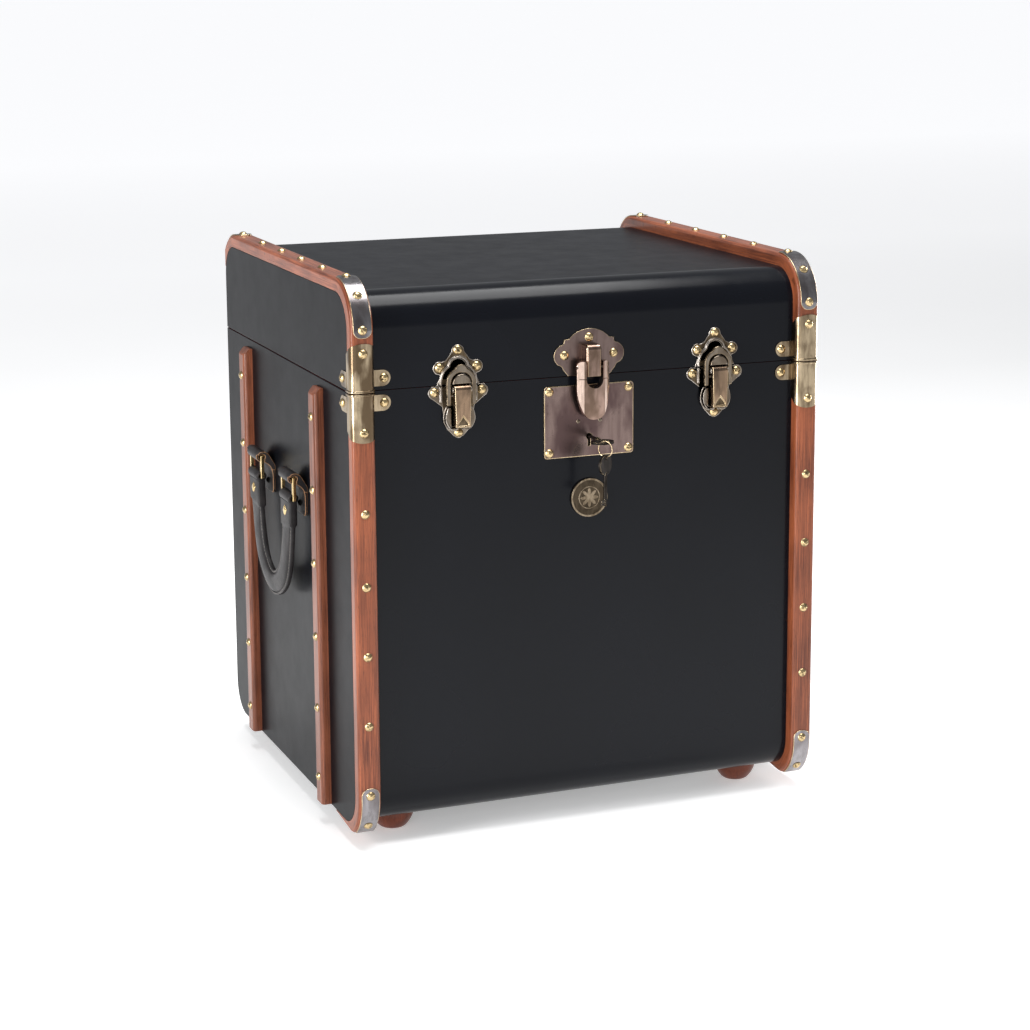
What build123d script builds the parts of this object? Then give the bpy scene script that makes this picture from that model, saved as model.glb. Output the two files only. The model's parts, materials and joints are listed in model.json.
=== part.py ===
from build123d import *
from math import asin, cos, degrees, radians, sin, sqrt
import os

# Steamer trunk.  Millimetres, +Z up.  Shapes are laid out about the middle of the box: X to the
# right, Y to the back, Z from the floor.  save() then shifts everything back by ORIGIN_Y, so that
# the origin is on the floor under the middle of the whole trunk, key and hinges included.

# ---- driving dimensions ----------------------------------------------------------------------
BOX_W = 508.0            # outside width of the black box
BOX_D = 449.0            # outside depth of the black box
BOX_BOTTOM = 21.0        # underside of the box, which is the height of the feet
BOX_TOP = 563.5          # top face of the lid
SEAM_Z = 468.7           # where the lid meets the body
SEAM_GAP = 0.8
CORNER_R = 35.0          # the four long corners of the side profile
SIDE_T = 9.0             # side boards
WRAP_T = 8.0             # bent board that makes front, bottom, back and top
LINING_T = 1.2
LINING_DROP = 3.0        # the linings stop this far from the seam

BATTEN_W = 23.5          # wooden battens along the four long front and top edges
BATTEN_T = 13.0
BATTEN_EDGE_R = 4.0
BATTEN_FEATHER = 10.0    # the thin end of a batten's wrap is cut off this far past the tangent
TOE_Z = 14.0             # underside of the battens' toes, at the box's front
TOE_RUN = 39.5           # the toes taper out this far behind the corner
SLAT_Y = 131.5           # upright slats on the side boards
SLAT_W = 22.0
SLAT_T = 10.0
SLAT_TOP = 460.0
SLAT_BEVEL = 8.0

STRAP_W = 19.0           # metal straps over the batten corners
STRAP_T = 1.2
STRAP_END_R = 8.0
CAP_T = 1.1              # metal sleeves over the battens at the seam
CAP_R = 7.0
CAP_REACH = 49.0         # from the seam to the sleeve's far end
CAP_SLOPE = 11.0         # the sleeve's sides run back by this much
CAP_ARCH_R = 26.0
EAR_L = 20.0
EAR_H = 16.0
EAR_T = 1.3
EAR_Z = 12.3             # ear centre, from the seam
EAR_NAIL = 13.4

NAIL_R = 4.75
NAIL_H = 3.0
FRONT_NAILS = (348.5, 274.8, 203.7, 132.0)
CAP_NAIL = 39.0          # from the seam
TOP_NAILS = (-109.3, -36.1, 36.1, 109.3)
STRAP_NAIL_END = 8.0     # from a strap's end to its end nail
STRAP_TOP_Y = 180.7      # where the top straps end on the top run
STRAP_LOW_Z = 68.0       # where the bottom straps end on the front run
STRAP_HIGH_Z = 522.7     # where the top straps end on the front run
SLAT_NAILS = (429.1, 353.3, 277.1, 199.9, 124.1, 49.9)

FOOT_X = 197.0
FOOT_Y = 169.0
FOOT_R = 22.0
FOOT_BASE_R = 8.0

LATCH_X = 140.3
LATCH_PLATE_T = 1.3
CATCH_RIM_H = 3.2
LOOP_HALF_W = 15.5       # the latch's loop, half width
LOOP_ARCH_Z = 472.0      # centre of the loop's arch
LOOP_T = 4.0
LOOP_BACK = 7.0          # from the box's front to the back of the loop
LOOP_FOOT_Z = 450.0
WINDOW_HALF_W = 10.8
TONGUE_GAP = 1.2
TONGUE_REACH = 13.0      # the catch's tongue, out from the box
TONGUE_Z = 471.2
LEVER_PIVOT = (-11.5, 465.5)   # out from the box's front, height
LOOP_PIVOT = (-9.0, 459.5)
LEVER_HALF_W = 8.6
LEVER_END_HALF_W = 7.6
LEVER_END_Z = 428.0
LEVER_FRONT = 16.0
LEVER_DEPTH = 8.0
LEVER_WALL = 1.5
LEVER_PIN_R = 1.2
CHEEK_IN = 9.8           # inner face of the cheeks beside the lever
CHEEK_H = 7.6
LOOP_PIN_R = 1.1
PIN_CLEARANCE = 0.06

LOCK_PLATE_HALF_W = 49.0
LOCK_PLATE_Z = (385.5, 459.5)
LOCK_PLATE_T = 1.6
LOCK_NAIL_X = 43.4
LOCK_NAIL_Z = (391.2, 454.0)
LOCK_SCREW_X = 12.0
LOCK_SCREW_Z = 422.0
CASE_HALF_W = 30.0
CASE_Z = (388.0, 450.0)
CASE_DEPTH = 16.0
CASE_WALL = 1.4
STAPLE_Z = (434.0, 444.0)
STAPLE_HALF_W = 4.0
STAPLE_ROOM = 3.5        # the plate's opening below the staple, for its swing

HASP_T = 1.5
HASP_BAR_HALF_W = 8.1
HASP_BAR_Z = (469.6, 501.5)
HASP_BAR_FRONT = 15.5
HASP_PIVOT = (-11.5, 478.5)
HASP_ARM_IN = 9.2
HASP_ARM_OUT = 17.5
HASP_ARM_TOP = 485.0
HASP_TIP_Z = 425.5
HASP_FINGER_Z = 467.0    # centre of the finger notch under the bar
HASP_BACK = 8.5
HASP_CROWN = 18.5
HASP_CREASE_Z = 467.0
HASP_EDGE_R = 3.0

KEY_Z = 406.0
KEY_SHANK_R = 2.0
KEY_IN = 12.0            # behind the box's front
BOW_CENTRE = 35.0        # out from the box's front
BOW_HALF_W = 12.0
BOW_HALF_L = 9.5
BOW_T = 2.4
KEY_BIT = (8.0, 5.0, 1.6)
RING_R = 8.0
RING_WIRE_R = 0.6
RING_TWIST = 35.0        # the ring's plane, away from front to back
RING_SLACK = 0.6         # the ring's clearance over the key's bow
SPARE_HOLE_R = 2.0
SPARE_SLACK = 0.45

MEDALLION_Z = 342.5
MEDALLION_R = 20.0
MEDALLION_T = 2.0

HANDLE_Y = 60.0          # handle ends, either side of the middle
HANDLE_X = 14.5          # bars of the handle rings, out from the side
RING_TOP_Z = 355.0
RING_LOW_Z = 333.0
RING_HALF_W = 20.2       # to the middle of a side bar
RING_BAR = 3.8
LEATHER_T = 2.6
BAR_HOLE_R = 3.2         # leather tunnel round a ring's bar
CHAPE_W = 44.0
CHAPE_TAB_W = 40.0
CHAPE_LOW_Z = 314.0
CHAPE_REACH_Z = 340.0    # where the chape leaves the side board
RELIEF_HALF_W = 17.9     # chape tunnel cut away outside this, for the ring's side bars
HANDLE_END_W = 34.0
HANDLE_T = 8.5

HINGE_X = 150.0
HINGE_W = 60.0
HINGE_KNUCKLES = 5
HINGE_KNUCKLE_GAP = 0.4
HINGE_BARREL_R = 4.0
HINGE_PIN_R = 2.0
HINGE_AXIS_OUT = 4.2
HINGE_LEAF_T = 1.8
HINGE_LEAF_H = 36.0
HINGE_CLEAR = 4.7

# ---- derived values --------------------------------------------------------------------------
HALF_W = BOX_W / 2
HALF_D = BOX_D / 2
FRONT = -HALF_D
BOX_H = BOX_TOP - BOX_BOTTOM
MID_Z = (BOX_TOP + BOX_BOTTOM) / 2
BODY_TOP = SEAM_Z - SEAM_GAP / 2
LID_BOTTOM = SEAM_Z + SEAM_GAP / 2
BATTEN_X = HALF_W - BATTEN_W / 2
BATTEN_IN_X = HALF_W - BATTEN_W
BATTEN_FRONT = FRONT - BATTEN_T
BATTEN_TOP = BOX_TOP + BATTEN_T
CURVE_Y = HALF_D - CORNER_R
CURVE_TOP_Z = BOX_TOP - CORNER_R
CURVE_LOW_Z = BOX_BOTTOM + CORNER_R
OUTER_R = CORNER_R + BATTEN_T
STRAP_OUTER_R = OUTER_R + STRAP_T
FAR = 700.0              # larger than the trunk
KEY_FRONT_REACH = HALF_D + BOW_CENTRE + BOW_HALF_L
RING_Y = FRONT - BOW_CENTRE - BOW_HALF_L + 1.7
RING_TOP_Z_WIRE = KEY_Z + BOW_T / 2 + RING_WIRE_R + RING_SLACK
RING_CENTRE_Z = RING_TOP_Z_WIRE - RING_R
RING_REACH = -RING_Y + RING_R * cos(radians(RING_TWIST)) + RING_WIRE_R
BACK_REACH = HALF_D + HINGE_AXIS_OUT + HINGE_BARREL_R
ORIGIN_Y = (max(KEY_FRONT_REACH, RING_REACH) - BACK_REACH) / 2

os.makedirs("parts", exist_ok=True)


# ---- helpers ---------------------------------------------------------------------------------
def save(name, shapes):
    """Write one node, shifted so that the origin is at the middle of the overall footprint."""
    solids = []
    for shape in shapes if isinstance(shapes, (list, tuple)) else [shapes]:
        solids += list(shape.solids())
    moved = [solid.moved(Location((0, ORIGIN_Y, 0))) for solid in solids]
    node = moved[0] if len(moved) == 1 else Compound(children=moved)
    export_step(node, f"parts/{name}.step")
    return node


def block(x, y, z):
    """A box from three (low, high) pairs."""
    size = (x[1] - x[0], y[1] - y[0], z[1] - z[0])
    return Pos((x[0] + x[1]) / 2, (y[0] + y[1]) / 2, (z[0] + z[1]) / 2) * Box(*size)


def side_profile(grow, x):
    """The trunk's rounded side profile, grown outward, and extruded between two X values."""
    plane = Plane(origin=(x[0], 0, MID_Z), x_dir=(0, 1, 0), z_dir=(1, 0, 0))
    sketch = plane * RectangleRounded(BOX_D + 2 * grow, BOX_H + 2 * grow, CORNER_R + grow)
    return extrude(sketch, x[1] - x[0], dir=(1, 0, 0))


def above(z):
    return block((-FAR, FAR), (-FAR, FAR), (z, FAR))


def below(z):
    return block((-FAR, FAR), (-FAR, FAR), (-FAR, z))


def front_plane(x=0.0, out=0.0):
    """A sketch plane on the box's front: sketch x is X, sketch y is Z, and it faces forward."""
    return Plane(origin=(x, FRONT - out, 0), x_dir=(1, 0, 0), z_dir=(0, -1, 0))


def front_extrude(sketch, start, stop, x=0.0):
    """Extrude a front sketch from one distance in front of the box to another."""
    return extrude(front_plane(x, start) * sketch, stop - start, dir=(0, -1, 0))


def x_rod(x, y, z, radius):
    """A round bar along X between two X values."""
    plane = Plane(origin=(x[0], y, z), x_dir=(0, 1, 0), z_dir=(1, 0, 0))
    return extrude(plane * Circle(radius), x[1] - x[0])


def y_rod(y, x, z, radius):
    """A round bar along Y between two Y values."""
    plane = Plane(origin=(x, y[0], z), x_dir=(-1, 0, 0), z_dir=(0, 1, 0))
    return extrude(plane * Circle(radius), y[1] - y[0])


def mirrored(shape):
    return mirror(shape, Plane.YZ)


def half_outline(points):
    """Mirror a right-hand chain of (x, z) points about x = 0 and close it."""
    left = [(-x, z) for x, z in reversed(points) if x > 0]
    return Polygon(*(points + left), align=None)


def dome(radius, height):
    """A nail head: a spherical cap that stands on its flat face, pointing along +Z."""
    ball_r = (radius**2 + height**2) / (2 * height)
    ball = Pos(0, 0, height - ball_r) * Sphere(ball_r)
    return ball & (Pos(0, 0, height) * Box(4 * radius, 4 * radius, 2 * height))


NAIL = dome(NAIL_R, NAIL_H)


def nail(position, direction, head=NAIL):
    return Plane(origin=position, z_dir=direction).location * head


# ---- the box ---------------------------------------------------------------------------------
def make_wrap(keep):
    """The bent board between the two side boards."""
    inner_x = HALF_W - SIDE_T
    outside = side_profile(0, (-inner_x, inner_x))
    inside = side_profile(-WRAP_T, (-HALF_W, HALF_W))
    return (outside - inside) & keep


def make_side(sign, keep):
    """A side board, its outer edge a little softened."""
    x = sorted((sign * (HALF_W - SIDE_T), sign * HALF_W))
    board = side_profile(0, x) & keep
    outer = board.edges().filter_by_position(Axis.X, sign * HALF_W - 0.1, sign * HALF_W + 0.1)
    return fillet(outer, 1.0)


def make_lining(keep):
    """The thin lining inside the wrap and the side boards."""
    inner_x = HALF_W - SIDE_T
    outside = side_profile(-WRAP_T, (-inner_x, inner_x))
    inside = side_profile(-WRAP_T - LINING_T, (-inner_x + LINING_T, inner_x - LINING_T))
    return (outside - inside) & keep


def lock_mortise():
    return block((-CASE_HALF_W, CASE_HALF_W), (FRONT - 1, FRONT + CASE_DEPTH), CASE_Z)


def make_box():
    body_keep, lid_keep = below(BODY_TOP), above(LID_BOTTOM)
    save("body_wrap", make_wrap(body_keep) - lock_mortise())
    save("lid_wrap", make_wrap(lid_keep))
    save("body_lining", make_lining(below(BODY_TOP - LINING_DROP)) - lock_mortise())
    save("lid_lining", make_lining(above(LID_BOTTOM + LINING_DROP)))
    for side, sign in (("left", -1), ("right", 1)):
        save(f"body_side_{side}", make_side(sign, body_keep))
        save(f"lid_side_{side}", make_side(sign, lid_keep))


# ---- battens, slats and feet -----------------------------------------------------------------
def sleeve_section(grow):
    """Section of a joint cap on the right-hand batten, square at the box and round in front."""
    x = (BATTEN_IN_X - grow, HALF_W + grow)
    front = BATTEN_FRONT - grow
    width, depth = x[1] - x[0], FRONT - front
    section = Pos((x[0] + x[1]) / 2, (front + FRONT) / 2) * Rectangle(width, depth)
    corners = [v for v in section.vertices() if abs(v.Y - front) < 0.01]
    return fillet(corners, CAP_R + grow)


def sleeve_block(grow, z):
    return Pos(0, 0, z[0]) * extrude(sleeve_section(grow), z[1] - z[0])


def toe_room():
    """The space below the battens' toes, which taper up under the front of the box."""
    heel = -CURVE_Y + TOE_RUN
    toe = Polygon((FRONT, TOE_Z), (heel, BOX_BOTTOM), (FAR, BOX_BOTTOM), (FAR, -FAR), (-FAR, -FAR),
                  (-FAR, TOE_Z), align=None)
    return extrude(Plane.YZ * toe, FAR, both=True)


def batten_keep():
    """Where the battens run: from under the front, up and back over the top, flush with the back."""
    keep = block((-FAR, FAR), (-FAR, HALF_D), (-FAR, FAR)) - toe_room()
    keep -= block((-FAR, FAR), (0, FAR), (-FAR, CURVE_TOP_Z + BATTEN_FEATHER))
    return keep - block((-FAR, FAR), (-CURVE_Y + TOE_RUN - 8.0, FAR), (-FAR, CURVE_LOW_Z))


def cap_zone(up):
    """How far a joint cap reaches: arched on the front, sloping back to the box on its sides."""
    near, far = SEAM_Z + up * SEAM_GAP / 2, SEAM_Z + up * CAP_REACH
    lead = BATTEN_FRONT - 6
    slope = Polygon((lead, near), (lead, far), (BATTEN_FRONT - CAP_T, far), (FRONT, far - up * CAP_SLOPE),
                    (FRONT, near), align=None)
    arch = Pos(BATTEN_X, far - up * CAP_ARCH_R) * Circle(CAP_ARCH_R) + Pos(BATTEN_X, near) * Rectangle(60, 50)
    return extrude(Plane.YZ * slope, FAR, both=True) & front_extrude(arch, -1, 40)


def make_batten():
    """The whole right-hand batten, rounded more tightly where the joint caps cover it."""
    outside = side_profile(BATTEN_T, (BATTEN_IN_X, HALF_W))
    ends = outside.faces().sort_by(Axis.X)
    outside = fillet(ends[0].edges() + ends[-1].edges(), BATTEN_EDGE_R)
    batten = (outside - side_profile(0, (BATTEN_IN_X - 1, HALF_W + 1))) & batten_keep()
    seam = block((0, FAR), (-FAR, FRONT), (SEAM_Z - 1, SEAM_Z + 1))
    for zone in (cap_zone(1), cap_zone(-1), seam):
        batten = (batten - zone) + (batten & zone & sleeve_block(0, (SEAM_Z - FAR, SEAM_Z + FAR)))
    return batten


def make_slat(y):
    """An upright slat on the right-hand side board, with a bevelled top."""
    front = Pos(y, (BOX_BOTTOM + SLAT_TOP) / 2) * Rectangle(SLAT_W, SLAT_TOP - BOX_BOTTOM - 2)
    plane = Plane(origin=(HALF_W, 0, 0), x_dir=(0, 1, 0), z_dir=(1, 0, 0))
    slat = extrude(plane * front, SLAT_T)
    outer = slat.faces().sort_by(Axis.X)[-1]
    slat = fillet(outer.edges().filter_by(Axis.Z), BATTEN_EDGE_R)
    reach = HALF_W + SLAT_T
    bevel = Polygon((reach + 1, SLAT_TOP - SLAT_BEVEL), (reach, SLAT_TOP - SLAT_BEVEL),
                    (reach - SLAT_T + 3.0, SLAT_TOP), (reach + 1, SLAT_TOP), align=None)
    return slat - extrude(Plane.XZ * bevel, FAR, both=True)


def make_foot(x, y):
    """A low turned bun foot."""
    with BuildSketch(Plane.XZ) as section:
        with BuildLine():
            Polyline((0, BOX_BOTTOM), (0, 0), (FOOT_BASE_R, 0))
            Spline((FOOT_BASE_R, 0), (FOOT_BASE_R + 9.5, 6), (FOOT_R, BOX_BOTTOM - 4),
                   tangents=((1, 0), (0.1, 1)))
            Polyline((FOOT_R, BOX_BOTTOM - 4), (FOOT_R, BOX_BOTTOM), (0, BOX_BOTTOM))
        make_face()
    return Pos(x, y, 0) * revolve(section.sketch, Axis.Z)


def make_wood():
    batten = make_batten()
    slats = [make_slat(y) for y in (-SLAT_Y, SLAT_Y)]
    for side, turn in (("right", lambda shape: shape), ("left", mirrored)):
        save(f"body_batten_{side}", turn(batten & below(BODY_TOP)))
        save(f"lid_batten_{side}", turn(batten & above(LID_BOTTOM)))
        save(f"side_slats_{side}", [turn(slat) for slat in slats])
    feet = [make_foot(x, y) for x in (-FOOT_X, FOOT_X) for y in (-FOOT_Y, FOOT_Y)]
    save("bun_feet", feet)


# ---- corner straps and joint caps ------------------------------------------------------------
def strap_ring():
    x = (BATTEN_X - STRAP_W / 2, BATTEN_X + STRAP_W / 2)
    outside = side_profile(BATTEN_T + STRAP_T, x)
    return outside - side_profile(BATTEN_T, (x[0] - 1, x[1] + 1))


def round_end(strap, axis, place, along):
    """Round the two corners of a strap's end: the short edges along one axis at that place."""
    edges = strap.edges().filter_by(along).filter_by_position(axis, place - 0.05, place + 0.05)
    return fillet(edges, STRAP_END_R)


def make_straps():
    ring = strap_ring()
    top_front = ring & block((0, FAR), (-FAR, -STRAP_TOP_Y), (STRAP_HIGH_Z, FAR))
    top_front = round_end(top_front, Axis.Z, STRAP_HIGH_Z, Axis.Y)
    top_front = round_end(top_front, Axis.Y, -STRAP_TOP_Y, Axis.Z)
    top_back = ring & block((0, FAR), (STRAP_TOP_Y, HALF_D), (CURVE_TOP_Z, FAR))
    top_back = round_end(top_back, Axis.Y, STRAP_TOP_Y, Axis.Z)
    low_front = (ring & block((0, FAR), (-FAR, -CURVE_Y), (-FAR, STRAP_LOW_Z))) - toe_room()
    low_front = round_end(low_front, Axis.Z, STRAP_LOW_Z, Axis.Y)
    save("corner_straps_front", [top_front, mirrored(top_front)])
    save("corner_straps_back", [top_back, mirrored(top_back)])
    save("corner_straps_bottom", [low_front, mirrored(low_front)])


def make_cap(up):
    """A right-hand joint cap: up is 1 for the lid's, -1 for the body's."""
    near, far = SEAM_Z + up * SEAM_GAP / 2, SEAM_Z + up * CAP_REACH
    z = sorted((near, far))
    cap = (sleeve_block(CAP_T, z) - sleeve_block(0, (z[0] - 1, z[1] + 1))) & cap_zone(up)
    bead = sleeve_block(CAP_T + 1.0, sorted((near, near + up * 2.6)))
    front_edges = bead.faces().sort_by(Axis.Y)[0].edges().filter_by(Axis.X)
    bead = fillet(bead.edges().filter_by(GeomType.CIRCLE) + front_edges, 0.9)
    cap += bead - sleeve_block(0, (z[0] - 1, z[1] + 1))
    centre = SEAM_Z + up * EAR_Z
    tab_x = (BATTEN_IN_X - EAR_L + EAR_H / 2, BATTEN_IN_X)
    tab = Pos((tab_x[0] + tab_x[1]) / 2, centre) * Rectangle(tab_x[1] - tab_x[0], EAR_H)
    front_ear = front_extrude(tab + Pos(tab_x[0], centre) * Circle(EAR_H / 2), 0, EAR_T)
    far_y = FRONT + EAR_L - EAR_H / 2
    plane = Plane(origin=(HALF_W, 0, 0), x_dir=(0, 1, 0), z_dir=(1, 0, 0))
    tab = Pos((FRONT + far_y) / 2, centre) * Rectangle(far_y - FRONT, EAR_H)
    side_ear = extrude(plane * (tab + Pos(far_y, centre) * Circle(EAR_H / 2)), EAR_T)
    return cap + front_ear + side_ear


def make_caps():
    for name, up in (("upper", 1), ("lower", -1)):
        cap = make_cap(up)
        save(f"joint_cap_{name}_right", cap)
        save(f"joint_cap_{name}_left", mirrored(cap))


# ---- latches ---------------------------------------------------------------------------------
def loop_outline(grow):
    """Outline of a latch's loop: two legs, an arch, and a small crown on the arch."""
    width = LOOP_HALF_W + grow
    legs_z = (LOOP_FOOT_Z + LOOP_ARCH_Z) / 2
    legs = Pos(0, legs_z) * Rectangle(2 * width, LOOP_ARCH_Z - LOOP_FOOT_Z)
    return legs + Pos(0, LOOP_ARCH_Z) * Circle(width) + Pos(0, 483.5) * Circle(7.0 + grow)


def make_catch():
    """The lid's catch plate with its raised rim and the tongue that the loop pulls on."""
    plate = half_outline([(0, 505), (6, 503), (12.5, 494), (20, 491), (22, 482), (18.5, 478),
                          (22.6, LID_BOTTOM), (0, LID_BOTTOM)])
    plate += Pos(0, 502.3) * Circle(6.6)
    for x in (-19.6, 19.6):
        plate += Pos(x, 486.2) * Circle(6.6)
    above_seam = Pos(0, LID_BOTTOM + 30) * Rectangle(90, 60)
    room = loop_outline(1.8) + Pos(0, 486.5) * Circle(9.0)
    rim = (loop_outline(3.8) + Pos(0, 486.5) * Circle(11.0)) - room
    catch = front_extrude(plate, 0, LATCH_PLATE_T) + front_extrude(rim & above_seam, 0, CATCH_RIM_H)
    radius = WINDOW_HALF_W - TONGUE_GAP
    tongue = Pos(0, LOOP_ARCH_Z - 0.5) * Circle(radius) & Pos(0, TONGUE_Z + 10) * Rectangle(40, 20)
    tongue = front_extrude(tongue, 0, TONGUE_REACH)
    tongue = fillet(tongue.faces().sort_by(Axis.Y)[0].edges(), 1.2)
    return catch + tongue


def make_latch_base():
    """The body's latch plate, its two cheeks beside the lever, and the lever's bearing lugs."""
    plate = half_outline([(0, BODY_TOP), (28, BODY_TOP), (29, 457), (17, 447.5), (15.8, 439), (15.8, 432),
                          (12, 424.5), (5, 417), (0, 416.5)])
    plate += Pos(0, 420.7) * Circle(5.6)
    for x in (-24.9, 24.9):
        plate += Pos(x, 461.7) * Circle(6.6)
    base = front_extrude(plate, 0, LATCH_PLATE_T)
    with BuildSketch() as hull:
        with BuildLine() as right:
            Line((0, 447.0), (12.6, 447.0))
            Spline((12.6, 447.0), (14.9, 441.5), (15.5, 434.5), (12.4, 427.2), (6.4, 423.4))
            Line((6.4, 423.4), (0, 423.4))
            mirror(right.line, Plane.YZ)
        make_face()
    cheeks = hull.sketch - Pos(0, 437) * Rectangle(2 * CHEEK_IN, 21.2) - Pos(0, 420.7) * Circle(NAIL_R + 0.6)
    base += front_extrude(cheeks, 0, CHEEK_H)
    below_seam = Pos(0, BODY_TOP - 30) * Rectangle(90, 60)
    sides = Pos(0, 460) * Rectangle(90, 15) - Pos(0, 460) * Rectangle(24, 30)
    rim = (loop_outline(3.8) - loop_outline(1.8)) & below_seam & sides
    base += front_extrude(rim, 0, CATCH_RIM_H)
    y, z = LEVER_PIVOT
    lug_plane = Plane(origin=(0, FRONT, 0), x_dir=(0, 1, 0), z_dir=(1, 0, 0))
    lug = Pos(y, z) * Circle(2.9) + Pos(y / 2, z) * Rectangle(-y, 5.8)
    lug -= Pos(y, z) * Circle(LEVER_PIN_R)
    for x in (-LEVER_HALF_W - 1.6, LEVER_HALF_W + 0.4):
        base += Pos(x, 0, 0) * extrude(lug_plane * lug, 1.2)
    return base


def make_lever():
    """The latch's lever, a channel with a notched end, drilled for its two pins."""
    y0, z0 = LEVER_PIVOT
    y1, z1 = LOOP_PIVOT
    plane = Plane(origin=(-LEVER_HALF_W, FRONT, 0), x_dir=(0, 1, 0), z_dir=(1, 0, 0))
    inside = -LEVER_FRONT + LEVER_DEPTH
    side = Polygon((-LEVER_FRONT, z0), (-LEVER_FRONT, LEVER_END_Z), (inside, LEVER_END_Z + 2),
                   (inside + 0.8, z1), (y0, z0), align=None)
    side += Pos(y0, z0) * Circle(LEVER_FRONT + y0)
    side += Pos(y1, z1) * Circle(2.6)
    lever = extrude(plane * side, 2 * LEVER_HALF_W, dir=(1, 0, 0))
    face = half_outline([(0, 480), (LEVER_HALF_W, 480), (LEVER_HALF_W, 462), (LEVER_END_HALF_W, 434),
                         (LEVER_END_HALF_W + 0.6, LEVER_END_Z), (0, LEVER_END_Z)])
    lever &= front_extrude(face, 0, 40)
    pocket = half_outline([(0, z1 - 6), (LEVER_HALF_W - LEVER_WALL, z1 - 6),
                           (LEVER_END_HALF_W - LEVER_WALL, 433), (0, 433)])
    lever -= front_extrude(pocket, 0, LEVER_FRONT - LEVER_WALL)
    notch_x = LEVER_END_HALF_W - 2.0
    notch = half_outline([(0, 439.5), (notch_x, 432.0), (notch_x, LEVER_END_Z + 1.6),
                          (0, LEVER_END_Z + 1.6)])
    lever -= front_extrude(notch, LEVER_FRONT - 0.9, LEVER_FRONT + 1)
    span = (-LEVER_HALF_W - 1, LEVER_HALF_W + 1)
    lever -= x_rod(span, FRONT + y0, z0, LEVER_PIN_R + PIN_CLEARANCE)
    return lever - x_rod(span, FRONT + y1, z1, LOOP_PIN_R)


def make_loop():
    """The latch's loop, which lies over the catch's tongue."""
    z1 = LOOP_PIVOT[1]
    window = Pos(0, LOOP_ARCH_Z - 0.5) * Circle(WINDOW_HALF_W)
    opening = Rectangle(2 * WINDOW_HALF_W, LOOP_ARCH_Z - LOOP_FOOT_Z + 5)
    window += Pos(0, (LOOP_FOOT_Z + LOOP_ARCH_Z) / 2 - 3) * opening
    loop = front_extrude(loop_outline(0) - window, LOOP_BACK, LOOP_BACK + LOOP_T)
    span = (-LOOP_HALF_W - 1, LOOP_HALF_W + 1)
    return loop - x_rod(span, FRONT + LOOP_PIVOT[0], z1, LOOP_PIN_R + PIN_CLEARANCE)


def make_latches():
    span = (-LEVER_HALF_W - 1.6, LEVER_HALF_W + 1.6)
    lever_pin = x_rod(span, FRONT + LEVER_PIVOT[0], LEVER_PIVOT[1], LEVER_PIN_R)
    loop_pin = x_rod((-LOOP_HALF_W, LOOP_HALF_W), FRONT + LOOP_PIVOT[0], LOOP_PIVOT[1], LOOP_PIN_R)
    pieces = {"latch_catch": make_catch(), "latch_base": make_latch_base(), "latch_lever": make_lever(),
              "latch_loop": make_loop(), "latch_loop_pin": loop_pin}
    for side, x in (("left", -LATCH_X), ("right", LATCH_X)):
        for name, piece in pieces.items():
            save(f"{name}_{side}", Pos(x, 0, 0) * piece)
    save("latch_lever_pins", [Pos(x, 0, 0) * lever_pin for x in (-LATCH_X, LATCH_X)])


# ---- hasp, lock and keys ---------------------------------------------------------------------
def make_hasp_plate():
    """The lid's lock plate: a wide arch over two rounded wings."""
    with BuildSketch() as outline:
        with BuildLine() as right:
            ThreePointArc((0, 516.4), (12.2, 513.8), (22.0, 506.6))
            Line((22.0, 506.6), (27.4, 506.0))
            ThreePointArc((27.4, 506.0), (27.3, 503.4), (28.6, 501.2))
            ThreePointArc((28.6, 501.2), (38.2, 491.0), (33.6, 480.6))
            ThreePointArc((33.6, 480.6), (30.4, 479.2), (28.6, 476.2))
            Line((28.6, 476.2), (23.0, LID_BOTTOM))
            Line((23.0, LID_BOTTOM), (0, LID_BOTTOM))
            mirror(right.line, Plane.YZ)
        make_face()
    return front_extrude(outline.sketch, 0, HASP_T)


def make_hasp_bar():
    """The upright bar on the lid that the hasp lever hangs from."""
    bar = block((-HASP_BAR_HALF_W, HASP_BAR_HALF_W), (FRONT - HASP_BAR_FRONT, FRONT - HASP_T), HASP_BAR_Z)
    front = bar.faces().sort_by(Axis.Y)[0]
    bar = fillet(front.edges().sort_by(Axis.Z)[-1], 5.0)
    front = bar.faces().filter_by(Axis.Y).sort_by(Axis.Y)[0]
    bar = chamfer(front.edges().filter_by(Axis.Z), 1.6)
    span = (-HASP_BAR_HALF_W - 1, HASP_BAR_HALF_W + 1)
    return bar - x_rod(span, FRONT + HASP_PIVOT[0], HASP_PIVOT[1], LEVER_PIN_R)


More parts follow.
